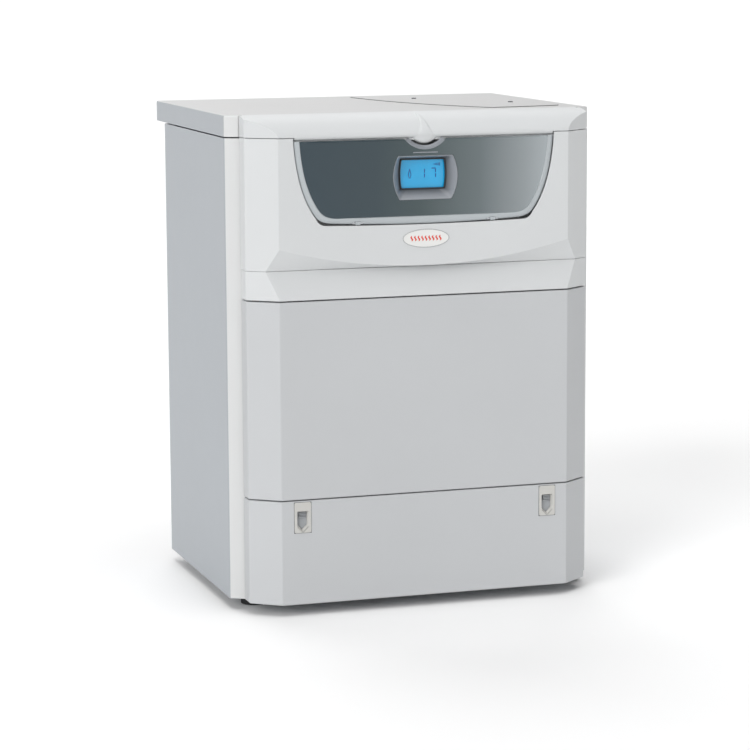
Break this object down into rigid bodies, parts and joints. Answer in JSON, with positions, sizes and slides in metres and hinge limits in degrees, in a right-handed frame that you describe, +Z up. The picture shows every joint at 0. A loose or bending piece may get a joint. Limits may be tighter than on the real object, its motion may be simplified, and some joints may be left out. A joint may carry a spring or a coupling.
{
  "type": "floor-standing condensing gas boiler",
  "caption": "Floor-standing gas boiler: faceted pale casing with hinged control flap, display and latched panels over a burner, fan, heat exchanger and pump.",
  "frame": {"origin": "on the floor under the middle of the casing's bounding box", "axes": "+Z up, front faces -Y, +X to the right seen from the front"},
  "size_m": [0.6, 0.52, 0.7776],
  "materials": {
    "side_paint": "satin powder coat",
    "front_paint": "satin powder coat",
    "lid_paint": "satin powder coat",
    "galvanised": "galvanised sheet",
    "shell_plastic": "fine satin moulding",
    "latch_plastic": "satin",
    "flap_gloss": "glossy metallic lacquer",
    "silver_trim": "silver lacquer",
    "badge_plastic": "gloss",
    "black_plastic": "satin",
    "dark_plastic": "satin",
    "grey_plastic": "satin",
    "red_plastic": "gloss",
    "display_blue": "backlit liquid crystal",
    "clear_glass": "clear",
    "circuit_green": "solder mask",
    "foot_rubber": "matte",
    "dark_screw": "blackened",
    "stainless": "brushed",
    "cast_alloy": "die cast",
    "ceramic": "matte ceramic",
    "brass_pipe": "satin",
    "yellow_lever": "dipped",
    "white_flue": "gloss",
    "red_paint": "gloss",
    "cast_iron_paint": "painted",
    "copper_pipe": "drawn copper"
  },
  "bodies": {
    "casing": {"base_frame": "galvanised", "support_frame": "galvanised", "left_side_panel": "side_paint", "right_side_panel": "side_paint", "rear_panel": "galvanised", "lid": "lid_paint", "top_visor": "shell_plastic", "service_plate": "lid_paint", "lid_screws": "dark_screw", "fascia": "shell_plastic", "grip_rail": "shell_plastic", "badge": "badge_plastic", "control_panel": "shell_plastic", "display_frame": "black_plastic", "display_glass": "display_blue", "pressure_gauge": "black_plastic", "gauge_glass": "clear_glass", "control_box": "black_plastic", "circuit_board": "circuit_green", "foot_locknuts": "stainless", "heat_exchanger": "stainless", "exchanger_coil": "stainless", "burner_door": "cast_alloy", "burner_tube": "stainless", "door_insulation": "ceramic", "spark_electrode": "ceramic", "flame_sensor": "ceramic", "fan_housing": "cast_alloy", "fan_motor": "black_plastic", "gas_valve": "cast_alloy", "gas_pipe": "brass_pipe", "flue_duct": "white_flue", "air_duct": "white_flue", "condensate_trap": "grey_plastic", "expansion_vessel": "red_paint", "pump_body": "cast_iron_paint", "flow_pipe": "copper_pipe", "return_pipe": "copper_pipe"},
    "flap": {"flap": "flap_gloss", "flap_rim": "silver_trim", "flap_bezel": "silver_trim", "flap_hinge_pins": "stainless"},
    "lower_panel": {"lower_panel": "front_paint", "latch_frames": "latch_plastic"},
    "mid_panel": {"mid_panel": "front_paint"},
    "latch_left": {"latch_left": "latch_plastic"},
    "latch_right": {"latch_right": "latch_plastic"},
    "heating_knob": {"heating_knob": "dark_plastic"},
    "hot_water_knob": {"hot_water_knob": "dark_plastic"},
    "reset_button": {"reset_button": "red_plastic"},
    "info_button": {"info_button": "dark_plastic"},
    "gauge_needle": {"gauge_needle": "red_plastic"},
    "fan_impeller": {"fan_impeller": "dark_plastic"},
    "pump_rotor": {"pump_rotor": "brass_pipe"},
    "gas_cock_lever": {"gas_cock_lever": "yellow_lever"},
    "safety_valve_cap": {"safety_valve_cap": "red_plastic"},
    "foot_front_left": {"foot_front_left": "foot_rubber"},
    "foot_front_right": {"foot_front_right": "foot_rubber"},
    "foot_rear_left": {"foot_rear_left": "foot_rubber"},
    "foot_rear_right": {"foot_rear_right": "foot_rubber"}
  },
  "joints": [
    {"name": "flap_hinge", "type": "hinge", "parent": "casing", "child": "flap", "pos_m": [0, -0.2569, 0.6095], "axis": [1, 0, 0], "range_deg": [0, 90]},
    {"name": "lower_panel_pull", "type": "slide", "parent": "casing", "child": "lower_panel", "axis": [0, -1, 0], "range_m": [0, 0.12]},
    {"name": "mid_panel_pull", "type": "slide", "parent": "casing", "child": "mid_panel", "axis": [0, -1, 0], "range_m": [0, 0.12]},
    {"name": "latch_left_slide", "type": "slide", "parent": "lower_panel", "child": "latch_left", "axis": [0, 0, -1], "range_m": [0, 0.008]},
    {"name": "latch_right_slide", "type": "slide", "parent": "lower_panel", "child": "latch_right", "axis": [0, 0, -1], "range_m": [0, 0.008]},
    {"name": "heating_knob_turn", "type": "hinge", "parent": "casing", "child": "heating_knob", "pos_m": [0.098, -0.24, 0.673], "axis": [0, 1, 0], "range_deg": [-135, 135]},
    {"name": "hot_water_knob_turn", "type": "hinge", "parent": "casing", "child": "hot_water_knob", "pos_m": [0.148, -0.24, 0.673], "axis": [0, 1, 0], "range_deg": [-135, 135]},
    {"name": "reset_button_press", "type": "slide", "parent": "casing", "child": "reset_button", "axis": [0, 1, 0], "range_m": [0, 0.0025], "stiffness_N_per_m": 300},
    {"name": "info_button_press", "type": "slide", "parent": "casing", "child": "info_button", "axis": [0, 1, 0], "range_m": [0, 0.0025], "stiffness_N_per_m": 300},
    {"name": "gauge_needle_turn", "type": "hinge", "parent": "casing", "child": "gauge_needle", "pos_m": [-0.138, -0.235, 0.678], "axis": [0, 1, 0], "range_deg": [-120, 120], "stiffness_Nm_per_rad": 0.002},
    {"name": "fan_spin", "type": "hinge", "parent": "casing", "child": "fan_impeller", "pos_m": [0.06, -0.12, 0.265], "axis": [0, 1, 0], "continuous": true},
    {"name": "pump_spin", "type": "hinge", "parent": "casing", "child": "pump_rotor", "pos_m": [-0.165, -0.1, 0.15], "axis": [0, 1, 0], "continuous": true},
    {"name": "gas_cock_turn", "type": "hinge", "parent": "casing", "child": "gas_cock_lever", "pos_m": [-0.095, 0.02, 0.17], "axis": [0, 0, 1], "range_deg": [0, 90]},
    {"name": "safety_valve_turn", "type": "hinge", "parent": "casing", "child": "safety_valve_cap", "pos_m": [-0.235, 0.084, 0.24], "axis": [0, 0, 1], "range_deg": [0, 90]},
    {"name": "foot_front_left_turn", "type": "hinge", "parent": "casing", "child": "foot_front_left", "pos_m": [-0.25, -0.145, 0.03], "axis": [0, 0, 1], "continuous": true},
    {"name": "foot_front_right_turn", "type": "hinge", "parent": "casing", "child": "foot_front_right", "pos_m": [0.25, -0.145, 0.03], "axis": [0, 0, 1], "continuous": true},
    {"name": "foot_rear_left_turn", "type": "hinge", "parent": "casing", "child": "foot_rear_left", "pos_m": [-0.25, 0.169, 0.03], "axis": [0, 0, 1], "continuous": true},
    {"name": "foot_rear_right_turn", "type": "hinge", "parent": "casing", "child": "foot_rear_right", "pos_m": [0.25, 0.169, 0.03], "axis": [0, 0, 1], "continuous": true}
  ]
}
